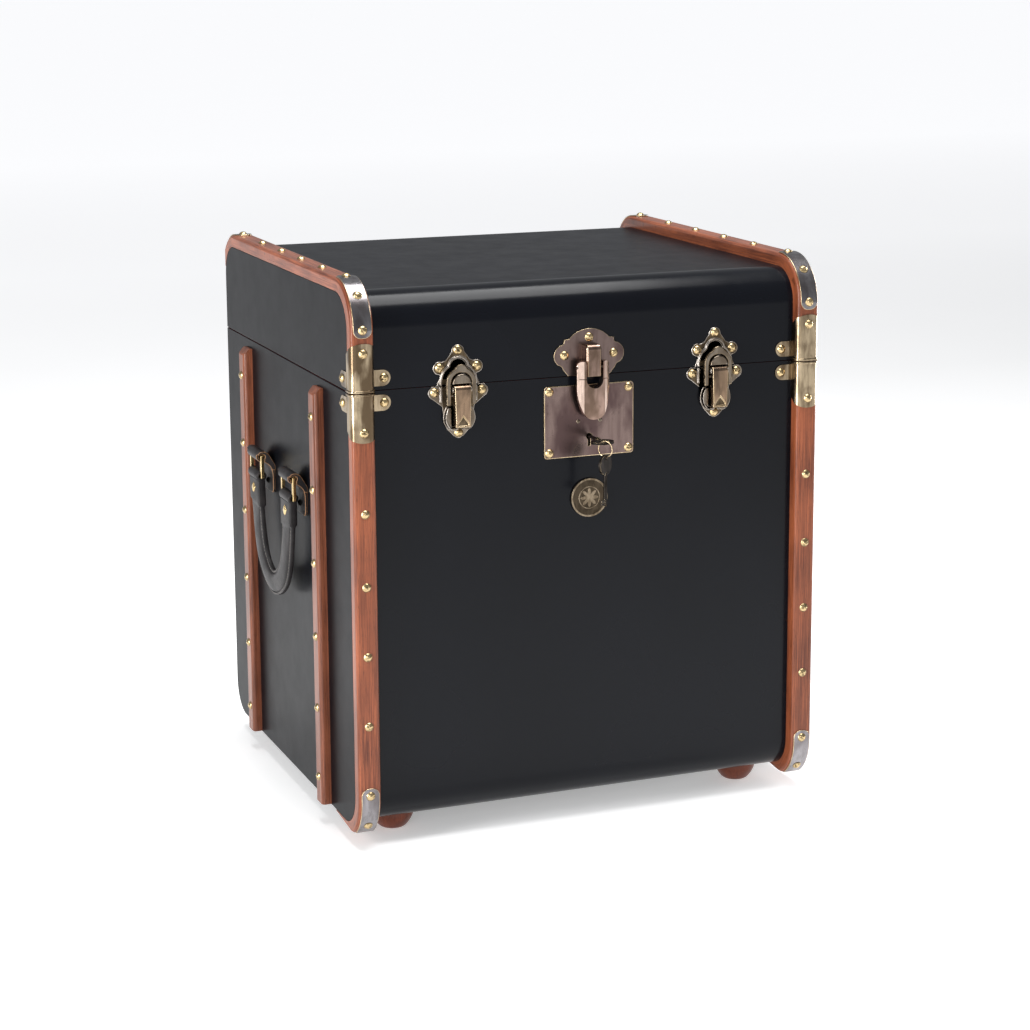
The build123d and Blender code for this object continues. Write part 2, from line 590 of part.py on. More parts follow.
def make_hasp_lever():
    """The oval lever whose two arms hold the bar and whose staple enters the lock."""
    with BuildSketch() as outline:
        with BuildLine() as right:
            Line((0, HASP_ARM_TOP), (13.3, HASP_ARM_TOP))
            ThreePointArc((13.3, HASP_ARM_TOP), (16.4, 483.4), (HASP_ARM_OUT, 480.0))
            Line((HASP_ARM_OUT, 480.0), (HASP_ARM_OUT, 460.0))
            Spline((HASP_ARM_OUT, 460.0), (13.6, 437.0), (0, HASP_TIP_Z), tangents=((0, -1), (-1, 0)))
            mirror(right.line, Plane.YZ)
        make_face()
    lever = front_extrude(outline.sketch, HASP_BACK, HASP_CROWN)
    face_edges = lever.faces().sort_by(Axis.Y)[0].edges()
    rim = face_edges.filter_by_position(Axis.Z, HASP_TIP_Z - 1, HASP_ARM_TOP - 3)
    lever = fillet(rim, HASP_EDGE_R)
    crown_r, length_r = 26.0, 190.0
    crown = Plane(origin=(0, FRONT - HASP_CROWN + crown_r, 0)).location * Cylinder(crown_r, 2 * FAR)
    lever &= crown
    lever &= x_rod((-30, 30), FRONT - HASP_CROWN + length_r, 456.0, length_r)
    slot = Pos(0, HASP_FINGER_Z) * Circle(HASP_ARM_IN)
    slot += Pos(0, HASP_FINGER_Z + 15) * Rectangle(2 * HASP_ARM_IN, 30)
    lever -= front_extrude(slot, 0, 40)
    for sign in (-1, 1):
        groove = Pos(sign * 14, HASP_CREASE_Z) * Rectangle(10, 0.7)
        lever -= front_extrude(groove, HASP_CROWN - 5.5, 40) & front_extrude(groove, HASP_BACK + 1.2, 40)
    staple = block((-STAPLE_HALF_W, STAPLE_HALF_W), (FRONT - HASP_BACK - 1, FRONT + 4.5), STAPLE_Z)
    eye = block((-FAR, FAR), (FRONT - 1.5, FRONT + 2.2), (STAPLE_Z[0] + 2.5, STAPLE_Z[1] - 2.5))
    lever += staple - eye
    span = (-HASP_ARM_OUT - 1, HASP_ARM_OUT + 1)
    return lever - x_rod(span, FRONT + HASP_PIVOT[0], HASP_PIVOT[1], LEVER_PIN_R + PIN_CLEARANCE)


def keyhole():
    hole = Pos(0, KEY_Z) * Circle(3.2)
    return hole + Pos(0, KEY_Z - 5.0) * Rectangle(2.6, 10.0)


def make_lock_plate():
    mid = (LOCK_PLATE_Z[0] + LOCK_PLATE_Z[1]) / 2
    plate = Pos(0, mid) * RectangleRounded(2 * LOCK_PLATE_HALF_W, LOCK_PLATE_Z[1] - LOCK_PLATE_Z[0], 3.0)
    opening = (STAPLE_Z[0] - STAPLE_ROOM, STAPLE_Z[1] + 1.0)
    plate -= Pos(0, sum(opening) / 2) * Rectangle(2 * STAPLE_HALF_W + 2, opening[1] - opening[0])
    plate = front_extrude(plate - keyhole(), 0, LOCK_PLATE_T)
    rim = plate.faces().sort_by(Axis.Y)[0].outer_wire().edges()
    return chamfer(rim, 0.5)


def make_lock_case():
    """The lock's case, let into the front board, open towards the plate."""
    inside_x = (-CASE_HALF_W + CASE_WALL, CASE_HALF_W - CASE_WALL)
    inside_z = (CASE_Z[0] + CASE_WALL, CASE_Z[1] - CASE_WALL)
    case = block((-CASE_HALF_W, CASE_HALF_W), (FRONT, FRONT + CASE_DEPTH), CASE_Z)
    return case - block(inside_x, (FRONT - 1, FRONT + CASE_DEPTH - CASE_WALL), inside_z)


def make_key_bow():
    """Bow and shank of a key that points into the trunk, the bow lying flat."""
    y = FRONT - BOW_CENTRE
    bow = Ellipse(BOW_HALF_W, BOW_HALF_L) - Pos(0, -0.8) * Ellipse(BOW_HALF_W - 4.6, BOW_HALF_L - 4.2)
    bow = Pos(0, y, KEY_Z - BOW_T / 2) * extrude(bow, BOW_T)
    bow += y_rod((y + BOW_HALF_L - 1.5, FRONT + KEY_IN), 0, KEY_Z, KEY_SHANK_R)
    bow += y_rod((y + BOW_HALF_L + 1, y + BOW_HALF_L + 4), 0, KEY_Z, KEY_SHANK_R + 0.9)
    length, width, thickness = KEY_BIT
    start = FRONT + KEY_IN - width - 1.0
    bit = block((0, length), (start, start + width), (KEY_Z - thickness / 2, KEY_Z + thickness / 2))
    bit -= block((length - 3, length + 1), (start + 1.8, start + 3.0), (KEY_Z - 9, KEY_Z + 9))
    return bow + bit


def make_spare_key():
    """The second key, hanging by its bow from the ring."""
    hole_z = RING_CENTRE_Z - RING_R + RING_WIRE_R + SPARE_SLACK - SPARE_HOLE_R
    bow_z = hole_z - 7.0
    bow = Pos(0, bow_z) * Ellipse(11.0, 10.5) - Pos(0, hole_z) * Circle(SPARE_HOLE_R)
    plane = Plane(origin=(0, RING_Y, 0), x_dir=(1, 0, 0), z_dir=(0, -1, 0))
    key = extrude(plane * bow, BOW_T / 2, both=True)
    shank = Pos(0, RING_Y, bow_z - 10.0 - 15.0) * Cylinder(KEY_SHANK_R, 34.0)
    length, width, thickness = KEY_BIT
    low = bow_z - 10.0 - 15.0 - 17.0 + 1.5
    bit = block((-length, 0), (RING_Y - thickness / 2, RING_Y + thickness / 2), (low, low + width))
    bit -= block((-length - 1, -length + 3), (RING_Y - 9, RING_Y + 9), (low + 1.8, low + 3.0))
    key = key + shank + bit
    turn = Location((0, RING_Y, 0)) * Location((0, 0, 0), (0, 0, 1), RING_TWIST)
    return turn * Location((0, -RING_Y, 0)) * key


def make_key_ring():
    centre = Plane(origin=(0, RING_Y, RING_CENTRE_Z), x_dir=(0, 0, 1),
                   z_dir=(cos(radians(RING_TWIST)), sin(radians(RING_TWIST)), 0))
    return centre.location * Torus(RING_R, RING_WIRE_R)


def make_lock():
    save("hasp_plate", make_hasp_plate())
    save("hasp_bar", make_hasp_bar())
    save("hasp_lever", make_hasp_lever())
    span = (-HASP_ARM_OUT + 1.0, HASP_ARM_OUT - 1.0)
    save("hasp_pin", x_rod(span, FRONT + HASP_PIVOT[0], HASP_PIVOT[1], LEVER_PIN_R))
    save("lock_plate", make_lock_plate())
    save("lock_case", make_lock_case())
    save("key", make_key_bow())
    save("key_ring", make_key_ring())
    save("spare_key", make_spare_key())


def make_medallion():
    """A round plaque with a raised rim and a plain rosette."""
    disc = Pos(0, MEDALLION_Z) * Circle(MEDALLION_R)
    rim = disc - Pos(0, MEDALLION_Z) * Circle(MEDALLION_R - 1.8)
    inner = Pos(0, MEDALLION_Z) * (Circle(11.6) - Circle(10.8))
    plaque = front_extrude(disc, 0, MEDALLION_T) + front_extrude(rim, 0, MEDALLION_T + 0.8)
    plaque += front_extrude(inner, 0, MEDALLION_T + 0.5)
    petals = Circle(2.0)
    for i in range(8):
        petals += Rot(0, 0, 45 * i) * Pos(5.4, 0) * Ellipse(4.4, 1.7)
    plaque += front_extrude(Pos(0, MEDALLION_Z) * petals, 0, MEDALLION_T + 0.6)
    save("medallion", plaque)


# ---- handles ---------------------------------------------------------------------------------
def side_plane(y):
    """Sketch plane across a handle on the right: sketch x is out from the side, sketch y is Z."""
    return Plane(origin=(HALF_W, y, 0), x_dir=(1, 0, 0), z_dir=(0, -1, 0))


def make_chape(y):
    """A leather chape on the right: a doubled strap from the side board out and round the bar."""
    roll_r = BAR_HOLE_R + LEATHER_T
    double = 2 * LEATHER_T
    with BuildSketch() as strap:
        with BuildLine():
            Polyline((0, CHAPE_REACH_Z + 4), (0, CHAPE_LOW_Z), (LEATHER_T, CHAPE_LOW_Z),
                     (LEATHER_T, CHAPE_REACH_Z - 8))
            Spline((LEATHER_T, CHAPE_REACH_Z - 8), (HANDLE_X, RING_TOP_Z - roll_r + 0.6),
                   tangents=((0, 1), (1, 0.3)))
            Line((HANDLE_X, RING_TOP_Z - roll_r + 0.6), (HANDLE_X, RING_TOP_Z + roll_r))
            Spline((HANDLE_X, RING_TOP_Z + roll_r), (double - 0.6, CHAPE_REACH_Z + 13),
                   (0, CHAPE_REACH_Z + 4), tangents=((-1, 0), (-0.3, -1)))
        make_face()
    section = strap.sketch + Pos(HANDLE_X, RING_TOP_Z) * Circle(roll_r)
    section -= Pos(HANDLE_X, RING_TOP_Z) * Circle(BAR_HOLE_R)
    chape = Pos(0, CHAPE_W / 2, 0) * extrude(side_plane(y) * section, CHAPE_W, dir=(0, -1, 0))
    reach = HANDLE_X + HALF_W
    for sign in (-1, 1):
        edge = sorted((y + sign * RELIEF_HALF_W, y + sign * FAR))
        room = block((reach - 2.3, reach + 9), edge, (RING_TOP_Z - 9, RING_TOP_Z + 2.3))
        side_room = block((HALF_W - 1, reach + 9), sorted((y + sign * CHAPE_TAB_W / 2, y + sign * FAR)),
                          (CHAPE_LOW_Z - 1, CHAPE_REACH_Z))
        chape -= room + side_room
    corners = chape.edges().filter_by(Axis.X).filter_by_position(Axis.Z, CHAPE_LOW_Z - 0.1, CHAPE_LOW_Z + 0.1)
    return fillet(corners, 6.0)


def make_handle_ring(y):
    """A rectangular ring: top bar in the chape, bottom bar in the handle's end."""
    plane = Plane(origin=(HALF_W + HANDLE_X - RING_BAR / 2, y, (RING_TOP_Z + RING_LOW_Z) / 2),
                  x_dir=(0, 1, 0), z_dir=(1, 0, 0))
    width, height = 2 * RING_HALF_W, RING_TOP_Z - RING_LOW_Z
    frame = RectangleRounded(width + RING_BAR, height + RING_BAR, 1.6)
    frame -= Rectangle(width - RING_BAR, height - RING_BAR)
    ring = extrude(plane * frame, RING_BAR)
    return chamfer(ring.faces().sort_by(Axis.X)[-1].outer_wire().edges(), 0.5)


def make_handle():
    """The right-hand handle: a padded leather U whose ends are tunnels on the rings' bars."""
    end_in, end_out = HANDLE_Y - HANDLE_END_W / 2, HANDLE_Y + HANDLE_END_W / 2
    with BuildSketch() as outline:
        with BuildLine() as half:
            Line((end_in, RING_LOW_Z), (end_out, RING_LOW_Z))
            Spline((end_out, RING_LOW_Z), (75.0, 300.0), (61.5, 250.0), (36.0, 224.5), (0, 213.5),
                   tangents=((-0.02, -1), (-1, 0)))
            Line((0, 213.5), (0, 240.0))
            Spline((0, 240.0), (18.5, 247.5), (32.0, 265.0), (40.5, 297.0), (end_in, RING_LOW_Z),
                   tangents=((1, 0), (0.02, 1)))
        make_face()
    both = outline.sketch + mirror(outline.sketch, Plane.YZ)
    inner_x = HALF_W + HANDLE_X - HANDLE_T / 2
    plane = Plane(origin=(inner_x, 0, 0), x_dir=(0, 1, 0), z_dir=(1, 0, 0))
    handle = extrude(plane * both, HANDLE_T, dir=(1, 0, 0))
    for y in (-HANDLE_Y, HANDLE_Y):
        span = (y - HANDLE_END_W / 2, y + HANDLE_END_W / 2)
        handle += y_rod(span, HALF_W + HANDLE_X, RING_LOW_Z, BAR_HOLE_R + LEATHER_T)
        handle -= y_rod((span[0] - 1, span[1] + 1), HALF_W + HANDLE_X, RING_LOW_Z, BAR_HOLE_R)
    return handle


def make_handle_studs():
    """Diamond studs on the handle's two ends."""
    out = HALF_W + HANDLE_X + HANDLE_T / 2
    studs = []
    for y in (-HANDLE_Y, HANDLE_Y):
        plane = Plane(origin=(out, y, RING_LOW_Z - 14.5), x_dir=(0, 1, 0), z_dir=(1, 0, 0))
        diamond = Polygon((4.5, 0), (0, 6.0), (-4.5, 0), (0, -6.0), align=None)
        studs.append(extrude(plane * diamond, 1.6, taper=40))
    return studs


def make_handles():
    ends = (-HANDLE_Y, HANDLE_Y)
    pieces = {"handle_chapes": [make_chape(y) for y in ends],
              "handle_rings": [make_handle_ring(y) for y in ends],
              "handle": [make_handle()], "handle_studs": make_handle_studs()}
    for name, shapes in pieces.items():
        save(f"{name}_right", shapes)
        save(f"{name}_left", [mirrored(shape) for shape in shapes])
    rivet_x = HALF_W + LEATHER_T
    rivets = []
    for sign in (-1, 1):
        for y in ends:
            rivets.append(nail((sign * rivet_x, y, CHAPE_LOW_Z + 11), (sign, 0, 0), dome(3.6, 2.4)))
    save("chape_rivets", rivets)


# ---- hinges ----------------------------------------------------------------------------------
def make_hinge(up):
    """Leaf and knuckles of one hinge: up is 1 for the lid's leaf, -1 for the body's."""
    near, far = SEAM_Z + up * HINGE_CLEAR, SEAM_Z + up * HINGE_LEAF_H
    half = HINGE_W / 2
    back = (HALF_D, HALF_D + HINGE_LEAF_T)
    leaf = block((-half, half), back, sorted((near, far)))
    corners = leaf.edges().filter_by(Axis.Y).filter_by_position(Axis.Z, far - 0.1, far + 0.1)
    leaf = fillet(corners, 4.0)
    pitch = HINGE_W / HINGE_KNUCKLES
    for i in range(HINGE_KNUCKLES):
        if (i % 2 == 0) == (up < 0):
            x = (-half + i * pitch + HINGE_KNUCKLE_GAP / 2, -half + (i + 1) * pitch - HINGE_KNUCKLE_GAP / 2)
            leaf += block(x, back, sorted((SEAM_Z, near)))
            leaf += x_rod(x, HALF_D + HINGE_AXIS_OUT, SEAM_Z, HINGE_BARREL_R)
    bore = HINGE_PIN_R if up < 0 else HINGE_PIN_R + PIN_CLEARANCE
    return leaf - x_rod((-half - 1, half + 1), HALF_D + HINGE_AXIS_OUT, SEAM_Z, bore)


def make_hinges():
    places = (-HINGE_X, HINGE_X)
    save("hinge_leaves_lid", [Pos(x, 0, 0) * make_hinge(1) for x in places])
    save("hinge_leaves_body", [Pos(x, 0, 0) * make_hinge(-1) for x in places])
    half = HINGE_W / 2
    axis_y = HALF_D + HINGE_AXIS_OUT
    save("hinge_pins", [x_rod((x - half, x + half), axis_y, SEAM_Z, HINGE_PIN_R) for x in places])


# ---- nails and screws ------------------------------------------------------------------------
def curve_point(angle, low):
    """A point on a strap's outer face at a front corner, the angle measured from straight ahead."""
    y = -CURVE_Y - STRAP_OUTER_R * cos(radians(angle))
    rise = STRAP_OUTER_R * sin(radians(angle))
    z = CURVE_LOW_Z - rise if low else CURVE_TOP_Z + rise
    direction = (0, -cos(radians(angle)), (-1 if low else 1) * sin(radians(angle)))
    return (y, z), direction


def both_sides(positions):
    """Nails at (x, y, z), direction pairs and at their mirror images."""
    nails = []
    for (x, y, z), (dx, dy, dz) in positions:
        nails.append(nail((x, y, z), (dx, dy, dz)))
        nails.append(nail((-x, y, z), (-dx, dy, dz)))
    return nails


def cap_nails(up):
    ahead, aside = (0, -1, 0), (1, 0, 0)
    z = SEAM_Z + up * EAR_Z
    return [((BATTEN_X, BATTEN_FRONT - CAP_T, SEAM_Z + up * CAP_NAIL), ahead),
            ((BATTEN_IN_X - EAR_NAIL, FRONT - EAR_T, z), ahead),
            ((HALF_W + EAR_T, FRONT + EAR_NAIL, z), aside)]


def make_nails():
    ahead, upward, aside = (0, -1, 0), (0, 0, 1), (1, 0, 0)
    strap_front = BATTEN_FRONT - STRAP_T
    body = [((BATTEN_X, BATTEN_FRONT, z), ahead) for z in FRONT_NAILS] + cap_nails(-1)
    body.append(((BATTEN_X, strap_front, STRAP_LOW_Z - STRAP_NAIL_END), ahead))
    (y, z), direction = curve_point(38.0, True)
    body.append(((BATTEN_X, y, z), direction))
    latch_y = FRONT - LATCH_PLATE_T
    low_nails = ((-24.9, 462.2), (24.9, 462.2), (0, 420.5))
    body += [((LATCH_X + dx, latch_y, z), ahead) for dx, z in low_nails]
    body += [((LOCK_NAIL_X, FRONT - LOCK_PLATE_T, z), ahead) for z in LOCK_NAIL_Z]
    body += [((HALF_W + SLAT_T, y, z), aside) for y in (-SLAT_Y, SLAT_Y) for z in SLAT_NAILS]
    save("body_nails", both_sides(body))
    lid = [((BATTEN_X, y, BATTEN_TOP), upward) for y in TOP_NAILS] + cap_nails(1)
    lid += [((BATTEN_X, y, BATTEN_TOP + STRAP_T), upward)
            for y in (-STRAP_TOP_Y - STRAP_NAIL_END, STRAP_TOP_Y + STRAP_NAIL_END)]
    (y, z), direction = curve_point(45.0, False)
    lid += [((BATTEN_X, y, z), direction), ((BATTEN_X, strap_front, STRAP_HIGH_Z + STRAP_NAIL_END), ahead)]
    high_nails = ((-19.6, 486.5), (19.6, 486.5), (0, 503.5))
    lid += [((LATCH_X + dx, latch_y, z), ahead) for dx, z in high_nails]
    lid.append(((26.8, FRONT - HASP_T, 490.2), ahead))
    save("lid_nails", both_sides(lid) + [nail((0, FRONT - HASP_T, 507.6), ahead)])


def screw_head(position, direction, radius):
    """A low round head with a straight slot."""
    head = dome(radius, radius * 0.45) - Pos(0, 0, radius * 0.45) * Box(3 * radius, 0.7, 0.9)
    return nail(position, direction, head)


def make_screws():
    back = HALF_D + HINGE_LEAF_T
    rows = []
    for up in (1, -1):
        places = [(-20, 22), (0, 28), (20, 22)]
        rows.append([screw_head((x + dx, back, SEAM_Z + up * dz), (0, 1, 0), 3.2)
                     for x in (-HINGE_X, HINGE_X) for dx, dz in places])
    save("hinge_screws_lid", rows[0])
    save("hinge_screws_body", rows[1])
    plate = FRONT - LOCK_PLATE_T
    heads = [screw_head((x, plate, LOCK_SCREW_Z), (0, -1, 0), 2.2) for x in (-LOCK_SCREW_X, LOCK_SCREW_X)]
    save("lock_screws", heads)


make_box()
make_wood()
make_straps()
make_caps()
make_latches()
make_lock()
make_medallion()
make_handles()
make_hinges()
make_nails()
make_screws()
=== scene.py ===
import json
import math
import random

import bmesh
import bpy
from mathutils import Matrix, Vector, noise

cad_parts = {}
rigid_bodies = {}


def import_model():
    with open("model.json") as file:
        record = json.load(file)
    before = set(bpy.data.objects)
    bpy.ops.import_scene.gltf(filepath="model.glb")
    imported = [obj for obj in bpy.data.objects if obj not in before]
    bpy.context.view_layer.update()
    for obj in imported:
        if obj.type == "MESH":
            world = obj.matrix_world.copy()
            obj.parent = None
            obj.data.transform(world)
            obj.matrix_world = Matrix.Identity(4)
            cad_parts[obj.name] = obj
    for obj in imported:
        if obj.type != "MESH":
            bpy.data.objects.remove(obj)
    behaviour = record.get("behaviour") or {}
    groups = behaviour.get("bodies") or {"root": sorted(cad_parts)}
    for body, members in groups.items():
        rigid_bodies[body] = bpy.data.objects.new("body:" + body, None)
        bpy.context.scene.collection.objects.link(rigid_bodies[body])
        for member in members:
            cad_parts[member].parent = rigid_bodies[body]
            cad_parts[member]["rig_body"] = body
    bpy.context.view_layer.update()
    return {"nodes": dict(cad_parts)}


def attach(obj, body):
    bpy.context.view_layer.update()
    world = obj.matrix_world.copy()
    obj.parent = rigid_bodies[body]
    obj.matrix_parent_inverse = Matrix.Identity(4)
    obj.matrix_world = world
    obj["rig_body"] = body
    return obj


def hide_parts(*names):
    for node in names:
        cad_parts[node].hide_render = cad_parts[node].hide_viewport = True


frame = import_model()
nodes = frame["nodes"]
BODY = {name: node["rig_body"] for name, node in nodes.items()}

# Shapes are laid out in millimetres about the middle of the box, then moved to the row frame.
SHIFT_Y = 20.8766
HALF_W = 254.0
HALF_D = 224.5
FRONT = -HALF_D
TOP = 563.5
CURVE_Y, CURVE_TOP, CURVE_LOW = 189.5, 528.5, 56.0
SEAM_Z = 468.7
HANDLE_OUT = 14.5
RING_LOW_Z = 333.0
HANDLE_Y, HANDLE_END_W = 60.0, 34.0
LATCH_X, LATCH_PLATE_T, LEVER_FRONT = 140.3, 1.3, 16.0
NAIL_H = 0.0029             # in metres, like the CAD meshes
BEND_R, BEND_RUN = 42, 66   # where the grain turns a batten corner: radius and quarter arc
STITCH_PITCH, STITCH_TOP_Z, STITCH_OUT = 3.6, 298, 2.42


def at(x, y, z):
    """A point of the box-centred layout, in metres in the row frame."""
    return Vector((x, y + SHIFT_Y, z)) * 0.001


def layout(co):
    """The box-centred millimetres of a row-frame point."""
    return Vector((co[0] * 1000, co[1] * 1000 - SHIFT_Y, co[2] * 1000))


# ---- shading helpers ---------------------------------------------------------------------------
class Shader:
    """One procedural material and short names for the nodes it uses."""

    def __init__(self, name):
        self.material = bpy.data.materials.new(name)
        self.material.use_nodes = True
        self.tree = self.material.node_tree
        self.tree.nodes.clear()
        out = self.tree.nodes.new("ShaderNodeOutputMaterial")
        self.bsdf = self.tree.nodes.new("ShaderNodeBsdfPrincipled")
        self.tree.links.new(self.bsdf.outputs[0], out.inputs[0])

    def put(self, socket, value):
        """Link a socket to another node's output, or give it a constant."""
        if isinstance(value, bpy.types.NodeSocket):
            self.tree.links.new(value, socket)
        elif isinstance(value, (tuple, list)) and len(value) == 3 and socket.type == "RGBA":
            socket.default_value = (*value, 1)
        else:
            socket.default_value = value

    def set(self, **inputs):
        """Give the surface's inputs, with underscores for the spaces in their names."""
        for name, value in inputs.items():
            self.put(self.bsdf.inputs[name.replace("_", " ")], value)

    def position(self):
        """The place on the object, in metres."""
        return self.tree.nodes.new("ShaderNodeTexCoord").outputs["Object"]

    def attribute(self, name, kind="Vector"):
        """A value stored on the mesh."""
        node = self.tree.nodes.new("ShaderNodeAttribute")
        node.attribute_name = name
        return node.outputs[kind]

    def scaled(self, vector, scale):
        node = self.tree.nodes.new("ShaderNodeMapping")
        self.put(node.inputs["Vector"], vector)
        node.inputs["Scale"].default_value = scale
        return node.outputs[0]

    def noise(self, vector, scale, detail=3.0, roughness=0.55, distortion=0.0):
        node = self.tree.nodes.new("ShaderNodeTexNoise")
        self.put(node.inputs["Vector"], vector)
        node.inputs["Scale"].default_value = scale
        node.inputs["Detail"].default_value = detail
        node.inputs["Roughness"].default_value = roughness
        node.inputs["Distortion"].default_value = distortion
        return node.outputs["Fac"]

    def cells(self, vector, scale):
        node = self.tree.nodes.new("ShaderNodeTexVoronoi")
        self.put(node.inputs["Vector"], vector)
        node.inputs["Scale"].default_value = scale
        return node.outputs["Distance"]

    def ramp(self, factor, *stops):
        node = self.tree.nodes.new("ShaderNodeValToRGB")
        elements = node.color_ramp.elements
        while len(elements) < len(stops):
            elements.new(0.5)
        for element, (place, value) in zip(elements, stops):
            element.position = place
            colour = value if isinstance(value, tuple) else (value, value, value)
            element.color = (*colour, 1)
        self.put(node.inputs[0], factor)
        return node.outputs[0]

    def mix(self, factor, a, b, blend="MIX"):
        node = self.tree.nodes.new("ShaderNodeMix")
        node.data_type = "RGBA"
        node.blend_type = blend
        self.put(node.inputs[0], factor)
        self.put(node.inputs[6], a)
        self.put(node.inputs[7], b)
        return node.outputs[2]

    def math(self, operation, a, b=0.0):
        node = self.tree.nodes.new("ShaderNodeMath")
        node.operation = operation
        self.put(node.inputs[0], a)
        self.put(node.inputs[1], b)
        return node.outputs[0]

    def bump(self, height, distance, strength=1.0):
        node = self.tree.nodes.new("ShaderNodeBump")
        node.inputs["Strength"].default_value = strength
        node.inputs["Distance"].default_value = distance
        self.put(node.inputs["Height"], height)
        self.put(self.bsdf.inputs["Normal"], node.outputs[0])


def board_black(name, base, rough, specular):
    """Satin black coating over board: faint cloudiness, fine orange peel and a few rubbed patches."""
    s = Shader(name)
    spot = s.position()
    cloud = s.noise(spot, 4.0, 3.0, 0.5)
    rub = s.noise(spot, 30.0, 5.0, 0.7)
    fleck = s.noise(spot, 700.0, 2.0, 0.5)
    dull, bright = tuple(c * 0.85 for c in base), tuple(c * 1.2 for c in base)
    tint = s.mix(s.ramp(cloud, (0.35, 0.0), (0.7, 1.0)), dull, bright)
    s.set(Base_Color=s.mix(s.ramp(rub, (0.66, 0.0), (0.85, 0.2)), tint, tuple(c * 2.0 for c in base)))
    s.set(Roughness=s.ramp(rub, (0.35, rough), (0.8, rough + 0.07)), Specular_IOR_Level=specular)
    s.bump(s.math("ADD", s.math("MULTIPLY", fleck, 0.6), rub), 0.00002, 0.22)
    return s.material


def wood(name, light, dark, gloss):
    """Stained and waxed wood whose grain follows the grain attribute (across, deep, along)."""
    s = Shader(name)
    grain = s.attribute("grain")
    fibre = s.noise(s.scaled(grain, (1.0, 1.0, 0.022)), 900.0, 4.0, 0.6, 0.4)
    band = s.noise(s.scaled(grain, (1.0, 1.0, 0.05)), 130.0, 3.0, 0.5, 0.8)
    pore = s.noise(s.scaled(grain, (1.0, 1.0, 0.05)), 2600.0, 2.0, 0.5)
    patch = s.noise(grain, 14.0, 2.0, 0.5)
    colour = s.mix(s.ramp(fibre, (0.38, 0.0), (0.62, 1.0)), dark, light)
    colour = s.mix(s.ramp(band, (0.36, 0.0), (0.7, 0.65)), colour, tuple(c * 0.55 for c in dark))
    colour = s.mix(s.ramp(patch, (0.35, 0.0), (0.7, 0.4)), colour, tuple(c * 1.25 for c in light))
    colour = s.mix(s.ramp(pore, (0.28, 0.7), (0.4, 0.0)), colour, tuple(c * 0.3 for c in dark))
    s.set(Base_Color=colour, Roughness=s.ramp(fibre, (0.3, gloss + 0.1), (0.7, gloss)))
    s.set(Coat_Weight=0.12, Specular_IOR_Level=0.32)
    s.bsdf.inputs["Coat Roughness"].default_value = 0.08
    s.bump(s.math("ADD", fibre, s.math("MULTIPLY", pore, 0.6)), 0.00012, 0.5)
    return s.material


def metal(name, base, tarnish, rough, spots=90.0, amount=0.7, scratch=0.3):
    """Plated metal with soft tarnish clouds, small specks and fine scratches."""
    s = Shader(name)
    spot = s.position()
    cloud = s.noise(s.scaled(spot, (1.0, 1.0, 0.45)), spots, 3.0, 0.5, 0.2)
    speck = s.noise(spot, spots * 7, 3.0, 0.6)
    lines = s.noise(s.scaled(spot, (1.0, 1.0, 0.06)), 2400.0, 2.0, 0.6)
    streak = s.noise(s.scaled(spot, (1.0, 1.0, 0.12)), spots * 5, 3.0, 0.5, 0.3)
    colour = s.mix(s.ramp(cloud, (0.42, 0.0), (0.60, amount)), base, tarnish)
    colour = s.mix(s.ramp(streak, (0.45, 0.0), (0.65, 0.45 * amount)), colour, tarnish)
    colour = s.mix(s.ramp(speck, (0.62, 0.0), (0.8, 0.5)), colour, tuple(c * 0.4 for c in tarnish))
    s.set(Base_Color=colour, Metallic=1.0)
    s.set(Roughness=s.ramp(cloud, (0.3, rough), (0.7, rough + 0.10)))
    s.bump(s.math("ADD", s.math("MULTIPLY", lines, scratch), s.math("MULTIPLY", speck, 0.4)), 0.00002, 0.35)
    return s.material


def leather(name, base, worn):
    """Fine-grained leather, lighter where it is rubbed."""
    s = Shader(name)
    spot = s.position()
    pebble = s.cells(spot, 900.0)
    crease = s.noise(spot, 260.0, 4.0, 0.65)
    wear = s.noise(spot, 45.0, 4.0, 0.6)
    s.set(Base_Color=s.mix(s.ramp(wear, (0.4, 0.0), (0.72, 0.8)), base, worn))
    s.set(Roughness=s.ramp(wear, (0.3, 0.52), (0.7, 0.42)), Specular_IOR_Level=0.3)
    s.bump(s.math("ADD", s.math("MULTIPLY", pebble, 0.8), crease), 0.00025, 0.55)
    return s.material


def cloth(name, base):
    """Plain woven lining cloth."""
    s = Shader(name)
    spot = s.position()
    weave = s.noise(s.scaled(spot, (1.0, 0.3, 1.0)), 1500.0, 2.0, 0.5)
    weft = s.noise(s.scaled(spot, (0.3, 1.0, 0.3)), 1500.0, 2.0, 0.5)
    stain = s.noise(spot, 6.0, 4.0, 0.6)
    stained = tuple(c * 0.7 for c in base)
    s.set(Base_Color=s.mix(s.ramp(stain, (0.35, 0.0), (0.7, 0.5)), base, stained), Roughness=0.85)
    s.bump(s.math("ADD", weave, weft), 0.0002, 0.6)
    return s.material


def nail_brass(name):
    """Bright nail heads: tarnish gathers where the dirt attribute is high."""
    s = Shader(name)
    spot = s.position()
    cloud = s.noise(spot, 420.0, 3.0, 0.6)
    dirt = s.attribute("dirt", "Fac")
    mask = s.math("MULTIPLY", dirt, s.ramp(cloud, (0.25, 0.4), (0.6, 1.0)))
    s.set(Base_Color=s.mix(mask, (0.60, 0.45, 0.24), (0.05, 0.034, 0.016)), Metallic=1.0)
    s.set(Roughness=s.mix(mask, (0.22, 0.22, 0.22), (0.55, 0.55, 0.55)))
    s.bump(cloud, 0.0002, 0.5)
    return s.material


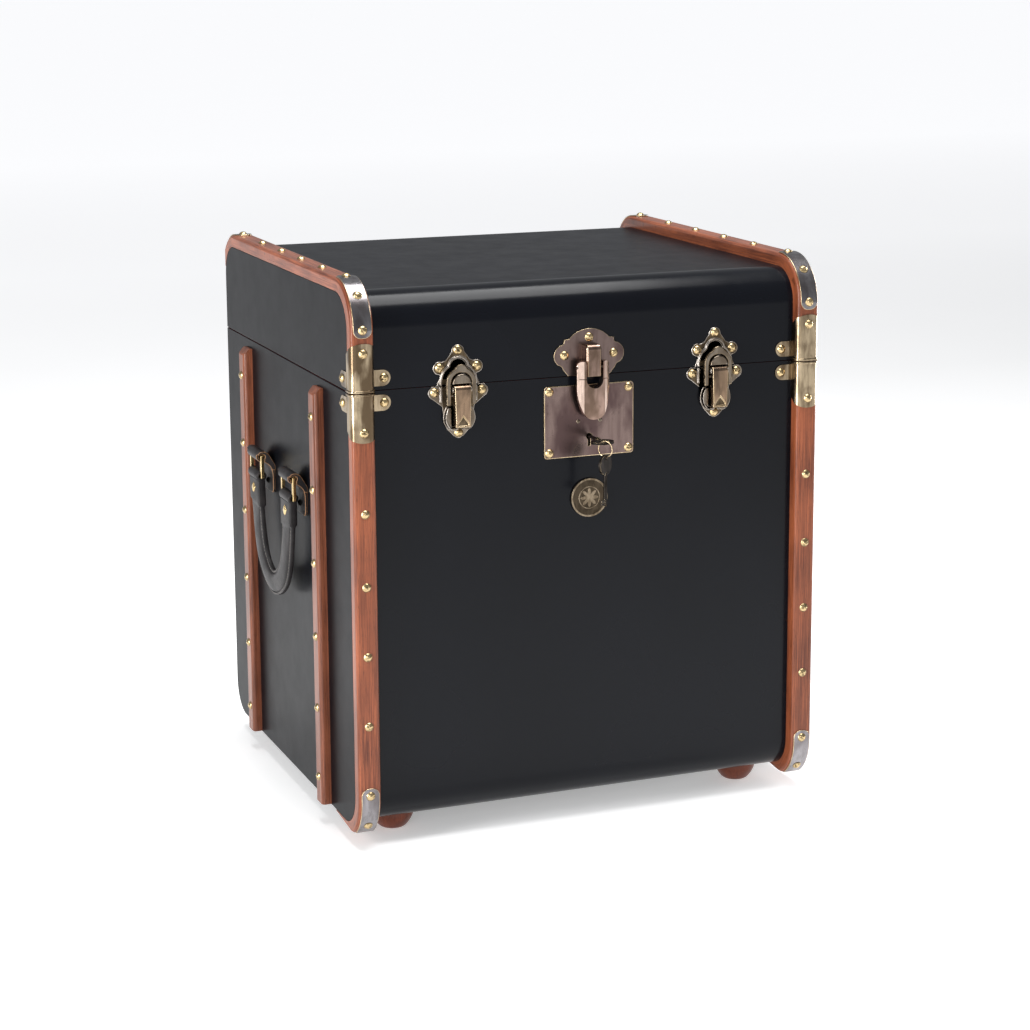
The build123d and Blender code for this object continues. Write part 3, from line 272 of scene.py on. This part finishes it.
BLACK = board_black("satin_black_board", (0.0034, 0.0040, 0.0062), 0.17, 0.17)
BLACK_SIDE = board_black("satin_black_side", (0.0034, 0.0038, 0.0052), 0.29, 0.05)
BLACK_TOP = board_black("satin_black_top", (0.0034, 0.0038, 0.0056), 0.29, 0.05)
SEAM_RED = board_black("seam_edge_red", (0.06, 0.008, 0.008), 0.45, 0.4)
WOOD = wood("batten_wood", (0.345, 0.096, 0.038), (0.105, 0.024, 0.0105), 0.27)
SLAT_WOOD = wood("slat_wood", (0.27, 0.085, 0.041), (0.085, 0.023, 0.011), 0.29)
FOOT = wood("foot_wood", (0.20, 0.045, 0.018), (0.09, 0.018, 0.008), 0.32)
NAIL = nail_brass("nail_brass")
STRAP = metal("strap_gunmetal", (0.31, 0.295, 0.305), (0.135, 0.118, 0.118), 0.18, 50.0, 0.85)
GOLD = metal("worn_edge_brass", (0.66, 0.52, 0.34), (0.36, 0.25, 0.13), 0.22, 200.0, 0.6)
CAP = metal("antique_brass", (0.50, 0.395, 0.262), (0.125, 0.085, 0.050), 0.15, 62.0, 0.95)
LOCK = metal("lock_bronze", (0.235, 0.168, 0.150), (0.11, 0.070, 0.067), 0.24, 40.0, 0.95)
HASP_PLATE = metal("hasp_plate_bronze", (0.20, 0.145, 0.13), (0.10, 0.066, 0.060), 0.28, 36.0, 0.9)
HASP = metal("hasp_bronze", (0.40, 0.275, 0.225), (0.13, 0.085, 0.060), 0.15, 44.0, 0.9)
# painted highlight: a bright metal for the hasp lever's rounded border and bevelled edges
HASP_HIGHLIGHT = metal("hasp_painted_highlight", (0.74, 0.57, 0.48), (0.42, 0.30, 0.24), 0.16, 120.0, 0.7)
LATCH = metal("latch_bronze", (0.25, 0.21, 0.165), (0.11, 0.08, 0.055), 0.18, 60.0, 0.7)
LEVER = metal("lever_bronze", (0.34, 0.23, 0.15), (0.10, 0.07, 0.05), 0.20, 60.0, 0.9)
# painted shade: a dark metal for the plate under the latch arches and for the notches in the latch levers
PAINTED_SHADE = metal("recess_painted_shade", (0.16, 0.12, 0.075), (0.06, 0.042, 0.026), 0.45, 200.0, 0.8)
STEEL = metal("dark_steel", (0.24, 0.23, 0.22), (0.13, 0.12, 0.115), 0.35, 160.0, 0.35)
KEY = metal("key_plate", (0.030, 0.026, 0.023), (0.014, 0.012, 0.010), 0.30, 200.0, 0.8)
RING = metal("ring_brass", (0.83, 0.64, 0.33), (0.50, 0.33, 0.13), 0.17, 160.0, 0.5)
BLACK_RIVET = metal("rivet_black", (0.035, 0.033, 0.032), (0.02, 0.018, 0.016), 0.35, 300.0, 0.6)
LEATHER = leather("handle_leather", (0.011, 0.0095, 0.0100), (0.036, 0.031, 0.031))
SILVER = metal("rubbed_edge_silver", (0.56, 0.51, 0.46), (0.22, 0.18, 0.14), 0.26, 160.0, 0.8)
MEDAL = metal("medallion_brass", (0.31, 0.245, 0.17), (0.13, 0.095, 0.06), 0.26, 200.0, 0.8)
MEDAL_GROUND = metal("medallion_ground", (0.085, 0.064, 0.043), (0.04, 0.03, 0.02), 0.40, 260.0, 0.7)
TAN = leather("chape_edge_tan", (0.26, 0.13, 0.06), (0.36, 0.21, 0.10))
THREAD = cloth("stitch_thread", (0.17, 0.155, 0.14))
LINING = cloth("lining_cloth", (0.50, 0.44, 0.34))


# ---- mesh helpers ------------------------------------------------------------------------------
def place(obj, node):
    """obj stands for a CAD node: it moves with the node's body, and the node is hidden."""
    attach(obj, BODY[node])
    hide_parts(node)


def finish_mesh(name, mesh, materials, angle, weighted):
    """Make an object with smooth shading that breaks at the angle."""
    for material in materials:
        mesh.materials.append(material)
    for face in mesh.polygons:
        face.use_smooth = True
    mesh.set_sharp_from_angle(angle=math.radians(angle))
    obj = bpy.data.objects.new(name, mesh)
    bpy.context.scene.collection.objects.link(obj)
    if weighted:
        modifier = obj.modifiers.new("normals", "WEIGHTED_NORMAL")
        modifier.keep_sharp = True
        view = bpy.context.evaluated_depsgraph_get()
        view.update()
        final = bpy.data.meshes.new_from_object(
            obj.evaluated_get(view), preserve_all_data_layers=True, depsgraph=view)
        obj.modifiers.clear()
        obj.data = final
    return obj


def raw_object(name, verts, faces, materials):
    """An object from box-centred points."""
    mesh = bpy.data.meshes.new(name)
    mesh.from_pydata([at(*v) for v in verts], [], faces)
    mesh.validate()
    return finish_mesh(name, mesh, materials, 40.0, False)


def cad_bmesh(node):
    """The welded shape of a CAD node, its flat faces merged."""
    source = nodes[node].data
    bm = bmesh.new()
    verts = [bm.verts.new(v.co) for v in source.vertices]
    for face in source.polygons:
        corners = [verts[i] for i in face.vertices]
        if len(set(corners)) == len(corners) and bm.faces.get(corners) is None:
            bm.faces.new(corners)
    bmesh.ops.remove_doubles(bm, verts=bm.verts, dist=2e-6)
    bmesh.ops.dissolve_limit(bm, angle_limit=math.radians(0.4), verts=bm.verts[:], edges=bm.edges[:])
    return bm


def refined(node, materials, width=0.0, angle=34.0, face_material=None, grain=None, clamp=True):
    """A copy of a CAD node with its sharp edges rounded over; the second material is for those edges."""
    bm = cad_bmesh(node)
    if face_material:
        for face in bm.faces:
            face.material_index = face_material(layout(face.calc_center_median()), face.normal)
    if width:
        sharp = [e for e in bm.edges if e.is_manifold and e.calc_face_angle(0.0) > math.radians(angle)]
        edge_index = 1 if len(materials) > 1 else -1
        bmesh.ops.bevel(bm, geom=sharp, offset=width * 0.001, offset_type="OFFSET", segments=2, profile=0.5,
                        affect="EDGES", clamp_overlap=clamp, material=edge_index)
    mesh = bpy.data.meshes.new(node + "_look")
    bm.to_mesh(mesh)
    bm.free()
    if grain:
        write_grain(mesh, grain)
    place(finish_mesh(node + "_look", mesh, materials, 50.0, True), node)


def write_grain(mesh, grain):
    """Store, for each vertex, its place across, into and along the wood, in metres."""
    layer = mesh.attributes.new("grain", "FLOAT_VECTOR", "POINT")
    for vertex in mesh.vertices:
        layer.data[vertex.index].vector = Vector(grain(layout(vertex.co))) * 0.001


def batten_grain(p):
    """Along a batten: up the front, round the corner and back over the top, with a low bend too."""
    side = 0 if p.x < 0 else 400
    if p.z > CURVE_TOP and p.y < -CURVE_Y:
        turn = math.atan2(p.z - CURVE_TOP, -CURVE_Y - p.y)
        depth = math.hypot(p.z - CURVE_TOP, -CURVE_Y - p.y)
        return (p.x + side, depth, CURVE_TOP + turn * BEND_R)
    if p.z > CURVE_TOP and p.y > CURVE_Y:
        turn = math.atan2(p.y - CURVE_Y, p.z - CURVE_TOP)
        depth = math.hypot(p.z - CURVE_TOP, p.y - CURVE_Y)
        return (p.x + side, depth, CURVE_TOP + BEND_RUN + 2 * CURVE_Y + turn * BEND_R)
    if p.z > CURVE_TOP:
        return (p.x + side, p.z - CURVE_TOP, CURVE_TOP + BEND_RUN + p.y + CURVE_Y)
    if p.z < CURVE_LOW:
        turn = math.atan2(CURVE_LOW - p.z, max(-CURVE_Y - p.y, 0.01))
        return (p.x + side, math.hypot(p.z - CURVE_LOW, -CURVE_Y - p.y), CURVE_LOW - turn * BEND_R)
    return (p.x + side, -p.y - CURVE_Y, p.z)


def islands(node):
    """The separate solids of a CAD node, each as (base centre, outward direction, base radius)."""
    bm = cad_bmesh(node)
    seen = set()
    found = []
    for start in bm.verts:
        if start in seen:
            continue
        group, stack = set(), [start]
        while stack:
            vert = stack.pop()
            if vert in group:
                continue
            group.add(vert)
            stack += [e.other_vert(vert) for e in vert.link_edges]
        seen |= group
        faces = {f for v in group for f in v.link_faces}
        base = max(faces, key=lambda f: f.calc_area())
        centre = base.calc_center_median()
        radius = max((v.co - centre).length for v in base.verts)
        found.append((centre.copy(), -base.normal.copy(), radius))
    bm.free()
    return sorted(found, key=lambda item: tuple(round(c, 4) for c in item[0]))


def nail_object(node, seed):
    """Hammered dome nails at the places of a CAD node's nails."""
    rng = random.Random(seed)
    verts, faces, dirt = [], [], []
    rings, around = 8, 18
    for centre, out, radius in islands(node):
        side = out.orthogonal().normalized()
        other = out.cross(side)
        offset = Vector((rng.random(), rng.random(), rng.random())) * 40
        ball = (radius**2 + NAIL_H**2) / (2 * NAIL_H)
        first = len(verts)
        spin = rng.random() * math.tau
        for i in range(rings):
            share = 1 - i / (rings - 1) if i < rings - 1 else 0.0
            r = radius * (0.995 * share)
            lift = math.sqrt(max(ball**2 - r**2, 0)) - (ball - NAIL_H)
            for j in range(around if i < rings - 1 else 1):
                turn = spin + j * math.tau / around
                flat = side * (r * math.cos(turn)) + other * (r * math.sin(turn))
                dent = noise.noise(offset + flat * 900) * 0.5 + noise.noise(offset + flat * 420)
                sink = max(0.0, dent - 0.05) * 0.0011 * (1 - share**4)
                verts.append(centre + flat + out * max(lift - sink, 0.0))
                dirt.append(min(1.0, max(0.0, sink / 0.00045) + max(0.0, share - 0.86) * 5.0))
        for i in range(rings - 1):
            for j in range(around):
                a = first + i * around + j
                b = first + i * around + (j + 1) % around
                if i < rings - 2:
                    faces.append((a, b, b + around, a + around))
                else:
                    faces.append((a, b, first + (rings - 1) * around))
        faces.append(tuple(reversed(range(first, first + around))))
    mesh = bpy.data.meshes.new(node + "_look")
    mesh.from_pydata(verts, [], faces)
    layer = mesh.attributes.new("dirt", "FLOAT", "POINT")
    for i, value in enumerate(dirt):
        layer.data[i].value = value
    place(finish_mesh(node + "_look", mesh, [NAIL], 60.0, False), node)


# ---- boards, wood and trim ---------------------------------------------------------------------
def seam_face(p, normal):
    """Board edges at the seam are painted dark red; the lid's flat top is rubbed duller."""
    if p.z > TOP - 0.5 and normal.z > 0.999:
        return 2
    return 1 if abs(normal.z) > 0.9 and abs(p.z - SEAM_Z) < 2.0 else 0


for side in ("left", "right"):
    for part in ("body", "lid"):
        refined(f"{part}_side_{side}", [BLACK_SIDE, SEAM_RED], face_material=seam_face)
        refined(f"{part}_batten_{side}", [WOOD], grain=batten_grain)
    refined(f"side_slats_{side}", [SLAT_WOOD], grain=lambda p: (p.y, p.x, p.z + 3 * p.y))
for part in ("body", "lid"):
    refined(f"{part}_wrap", [BLACK, SEAM_RED, BLACK_TOP], face_material=seam_face)
    refined(f"{part}_lining", [LINING])
    nail_object(f"{part}_nails", 11 if part == "body" else 12)
refined("bun_feet", [FOOT], grain=lambda p: (p.x, p.y, p.z * 0.3 + p.x * 0.7))
for name in ("corner_straps_front", "corner_straps_back", "corner_straps_bottom"):
    refined(name, [STRAP, GOLD], 0.55)
for name in ("upper_left", "upper_right", "lower_left", "lower_right"):
    refined("joint_cap_" + name, [CAP, GOLD], 0.3)


# ---- latches, hasp, lock, keys and hinges ------------------------------------------------------
def raised_face(p, normal):
    """The medallion's raised pattern is polished, its ground is dark."""
    return 1 if FRONT - p.y > 2.3 and normal.y < -0.9 else 0


def arch_shade_face(p, normal):
    """The plate under a latch's arch is painted dark: painted shade where the arch shades it."""
    across = abs(abs(p.x) - LATCH_X)
    floor = normal.y < -0.9 and abs(FRONT - p.y - LATCH_PLATE_T) < 0.3
    return 2 if floor and across < 17 and 430 < p.z < 497 - across * 0.5 else 0


def notch_shade_face(p, normal):
    """The notch in a latch lever's end is painted dark: painted shade in the notch."""
    return 2 if p.z < 441 and normal.y < -0.9 and FRONT - p.y < LEVER_FRONT - 0.5 else 0


def highlight_border_face(p, normal):
    """The hasp lever's rounded border is painted bright: a painted highlight."""
    return 1 if normal.y > -0.9 and FRONT - p.y > 11 else 0


for side in ("left", "right"):
    # the third material is painted shade, on the plate under the arch and in the lever's notch
    refined(f"latch_catch_{side}", [LATCH, SILVER, PAINTED_SHADE], 0.7, face_material=arch_shade_face, clamp=False)
    refined(f"latch_base_{side}", [LATCH, SILVER, PAINTED_SHADE], 0.6, face_material=arch_shade_face, clamp=False)
    refined(f"latch_lever_{side}", [LEVER, GOLD, PAINTED_SHADE], 0.7, face_material=notch_shade_face, clamp=False)
    refined(f"latch_loop_{side}", [LATCH, MEDAL], 1.1, clamp=False)
    refined(f"latch_loop_pin_{side}", [STEEL], 0.15)
refined("latch_lever_pins", [STEEL], 0.15)
refined("hasp_plate", [HASP_PLATE, GOLD], 0.45)
refined("hasp_bar", [HASP, GOLD], 0.4)
# the second material is a painted highlight on the lever's rounded border and edges
refined("hasp_lever", [HASP, HASP_HIGHLIGHT], 0.4, face_material=highlight_border_face)
refined("hasp_pin", [STEEL], 0.15)
refined("lock_plate", [LOCK, GOLD], 0.35)
refined("lock_case", [STEEL])
refined("lock_screws", [LATCH], 0.1)
refined("key", [KEY, GOLD], 0.35)
refined("spare_key", [KEY, GOLD], 0.35)
refined("key_ring", [GOLD])
refined("medallion", [MEDAL_GROUND, MEDAL], 0.15, face_material=raised_face)
refined("hinge_leaves_body", [CAP, GOLD], 0.3)
refined("hinge_leaves_lid", [CAP, GOLD], 0.3)
refined("hinge_pins", [STEEL], 0.2)
refined("hinge_screws_body", [CAP], 0.1)
refined("hinge_screws_lid", [CAP], 0.1)


# ---- handles -----------------------------------------------------------------------------------
OUTER = [(-77, 328.5), (-75.2, 300), (-61.5, 250), (-36, 224.5), (0, 213.5)]
INNER = [(-43, 328.5), (-40.7, 297), (-32, 265), (-18.5, 247.5), (0, 240)]
EDGE_STEPS = [(1.0, 1.2), (0.985, 1.9), (0.94, 2.3), (0.86, 2.4), (0.79, 2.3), (0.755, 1.7), (0.72, 2.4)]
FLAT_STEPS = [(1.0, 2.6), (0.985, 3.5), (0.94, 4.1), (0.86, 4.25), (0.79, 4.25), (0.755, 4.1), (0.72, 4.28)]


def smooth(x, low, high):
    """0 below low, 1 above high, and an even S between."""
    t = min(max((x - low) / (high - low), 0.0), 1.0)
    return t * t * (3 - 2 * t)


def curve(points, steps):
    """Points along a smooth curve through the given ones and their mirror images."""
    points = points + [(-y, z) for y, z in reversed(points[:-1])]
    ends = [points[0], *points, points[-1]]
    found = []
    for i in range(len(points) - 1):
        a, b, c, d = (Vector(p) for p in ends[i:i + 4])
        for k in range(steps):
            t = k / steps
            square, cube = 2 * a - 5 * b + 4 * c - d, 3 * b - a - 3 * c + d
            found.append(b + ((c - a) * t + square * t**2 + cube * t**3) / 2)
    return found + [Vector(points[-1])]


def grip_profile(z):
    """Half thickness across the grip: flat near the rings, crowned between two creases lower down."""
    flat = smooth(z, 300.5, 303.0)
    crown = 0.35 + 0.65 * smooth(-z, -302.0, -268.0)
    half = []
    for (u, low), (_, high) in zip(EDGE_STEPS, FLAT_STEPS):
        half.append((-u, low + (high - low) * flat))
    for u in (0.66, 0.56, 0.42, 0.25, 0.1):
        low = 2.4 + 2.7 * crown * math.sqrt(1 - (u / 0.74) ** 2)
        half.append((-u, low + (4.3 - low) * flat))
    return half + [(-u, d) for u, d in reversed(half)]


def make_grip(sign):
    """The padded leather U with its two rolled ends."""
    verts, faces = [], []
    x0 = sign * (HALF_W + HANDLE_OUT)
    outer, inner = curve(OUTER, 16), curve(INNER, 16)
    for o, i in zip(outer, inner):
        middle, arm = (o + i) / 2, (o - i) / 2
        profile = grip_profile(middle.y)
        for u, d in profile + [(u, -d) for u, d in reversed(profile)]:
            p = middle + arm * u
            verts.append((x0 + sign * d, p.x, p.y))
    size = len(verts) // len(outer)
    for i in range(len(outer) - 1):
        for j in range(size):
            k = (j + 1) % size
            faces.append((i * size + j, i * size + k, (i + 1) * size + k, (i + 1) * size + j))
    faces.append(tuple(range(size)))
    faces.append(tuple(reversed(range(len(verts) - size, len(verts)))))
    for y in (-HANDLE_Y, HANDLE_Y):
        add_roll(verts, faces, x0, y, RING_LOW_Z, HANDLE_END_W / 2)
    return verts, faces


def add_roll(verts, faces, x, y, z, half):
    """A leather tunnel round a ring's bar."""
    around = 28
    loops = [(-half, 3.25), (-half, 4.9), (-half + 0.5, 5.6), (-half + 1.2, 5.8)]
    loops += [(-y0, r) for y0, r in reversed(loops)]
    first = len(verts)
    for dy, r in loops:
        for j in range(around):
            turn = j * math.tau / around
            verts.append((x + r * math.cos(turn), y + dy, z + r * math.sin(turn)))
    for i in range(len(loops)):
        for j in range(around):
            a, b = first + i * around, first + (i + 1) % len(loops) * around
            k = (j + 1) % around
            faces.append((a + j, a + k, b + k, b + j))


def stitches(sign):
    """Thread stitches along both margins of the grip's outward face."""
    verts, faces = [], []
    outer, inner = curve(OUTER, 60), curve(INNER, 60)
    for u in (-0.87, 0.87):
        line = [(o + i) / 2 + (o - i) / 2 * u for o, i in zip(outer, inner)]
        travelled, last = 0.0, line[0]
        for k in range(1, len(line) - 1):
            travelled += (line[k] - last).length
            last = line[k]
            if travelled < STITCH_PITCH or line[k].y > STITCH_TOP_Z:
                continue
            travelled = 0.0
            along = (line[k + 1] - line[k - 1]).normalized()
            side = Vector((-along.y, along.x))
            first = len(verts)
            for reach, r in ((-1.25, 0.12), (-0.8, 0.34), (0.8, 0.34), (1.25, 0.12)):
                for j in range(6):
                    turn = j * math.tau / 6
                    p = line[k] + along * reach + side * (r * math.cos(turn))
                    x = HALF_W + HANDLE_OUT + STITCH_OUT + r * math.sin(turn)
                    verts.append((sign * x, p.x, p.y))
            for i in range(3):
                for j in range(6):
                    a = first + i * 6
                    faces.append((a + j, a + (j + 1) % 6, a + 6 + (j + 1) % 6, a + 6 + j))
            faces.append(tuple(range(first, first + 6)))
            faces.append(tuple(reversed(range(first + 18, first + 24))))
    return verts, faces


def handle_object(side):
    """The handle's look: leather grip with its stitches as the second material."""
    sign = -1 if side == "left" else 1
    verts, faces = make_grip(sign)
    leather_faces = len(faces)
    more, extra = stitches(sign)
    faces += [tuple(i + len(verts) for i in face) for face in extra]
    verts += more
    node = f"handle_{side}"
    obj = raw_object(node + "_look", verts, faces, [LEATHER, THREAD])
    for face in obj.data.polygons:
        face.material_index = 0 if face.index < leather_faces else 1
    bm = bmesh.new()
    bm.from_mesh(obj.data)
    bmesh.ops.recalc_face_normals(bm, faces=bm.faces[:])
    bm.to_mesh(obj.data)
    bm.free()
    place(obj, node)


for side in ("left", "right"):
    refined(f"handle_chapes_{side}", [LEATHER, TAN], 0.55, clamp=False)
    refined(f"handle_rings_{side}", [RING], 0.5)
    refined(f"handle_studs_{side}", [RING], 0.2)
    handle_object(side)
refined("chape_rivets", [BLACK_RIVET])


# ---- floor, light and camera -------------------------------------------------------------------
def studio_floor():
    """The pale floor, which glows a little more towards the back."""
    s = Shader("studio_floor")
    spot = s.position()
    s.set(Base_Color=s.mix(s.noise(spot, 3.0, 2.0), (0.84, 0.84, 0.84), (0.87, 0.87, 0.87)), Roughness=0.8)
    split = s.tree.nodes.new("ShaderNodeSeparateXYZ")
    s.put(split.inputs[0], spot)
    away = s.ramp(s.math("MULTIPLY", split.outputs["Y"], 0.12), (0.25, 0.0), (0.5, 0.6), (0.9, 1.0))
    s.set(Emission_Color=s.mix(away, (0.34, 0.34, 0.34), (0.66, 0.66, 0.67)), Emission_Strength=1.0)
    mesh = bpy.data.meshes.new("studio_floor")
    mesh.from_pydata([(-30, -12, 0), (30, -12, 0), (30, 60, 0), (-30, 60, 0)], [], [(0, 1, 2, 3)])
    mesh.materials.append(s.material)
    obj = bpy.data.objects.new("studio_floor", mesh)
    bpy.context.scene.collection.objects.link(obj)


def area_light(name, place_at, target, size, power):
    """A white rectangular light that faces the target."""
    data = bpy.data.lights.new(name, "AREA")
    data.shape = "RECTANGLE"
    data.size, data.size_y = size
    data.energy = power
    obj = bpy.data.objects.new(name, data)
    obj.location = place_at
    obj.rotation_euler = (Vector(target) - Vector(place_at)).to_track_quat("-Z", "Y").to_euler()
    bpy.context.scene.collection.objects.link(obj)


studio_floor()
world = bpy.data.worlds.new("studio")
world.use_nodes = True
world.node_tree.nodes["Background"].inputs[0].default_value = (0.95, 0.97, 1.0, 1)
world.node_tree.nodes["Background"].inputs[1].default_value = 0.36
bpy.context.scene.world = world
area_light("overhead", (0.2, -0.1, 2.8), (0.2, -0.1, 0.0), (1.8, 1.8), 84)
area_light("left_strip", (-2.0, -0.75, 0.75), (0.0, 0.0, 0.6), (0.45, 1.5), 34)
area_light("right_strip", (1.9, 0.5, 0.6), (0.25, -0.2, 0.35), (0.5, 1.2), 34)
area_light("front_fill", (-2.3, -3.4, 1.4), (0.0, 0.0, 0.35), (1.3, 1.3), 34)

camera = bpy.data.objects.new("camera", bpy.data.cameras.new("camera"))
right, up = (0.924584, -0.380972, -0.002029), (0.077535, 0.182952, 0.98006)
back = (-0.373004, -0.906305, 0.198693)
turned = Matrix((right, up, back)).transposed().to_4x4()
camera.matrix_world = Matrix.Translation((-0.97111, -2.48711, 0.90477)) @ turned
camera.data.lens = 87.308
camera.data.sensor_width = 36.0
camera.data.shift_x = -0.0437
camera.data.shift_y = -0.0728
camera.data.clip_end = 200
bpy.context.scene.collection.objects.link(camera)
bpy.context.scene.camera = camera
bpy.context.scene.view_settings.view_transform = "Standard"
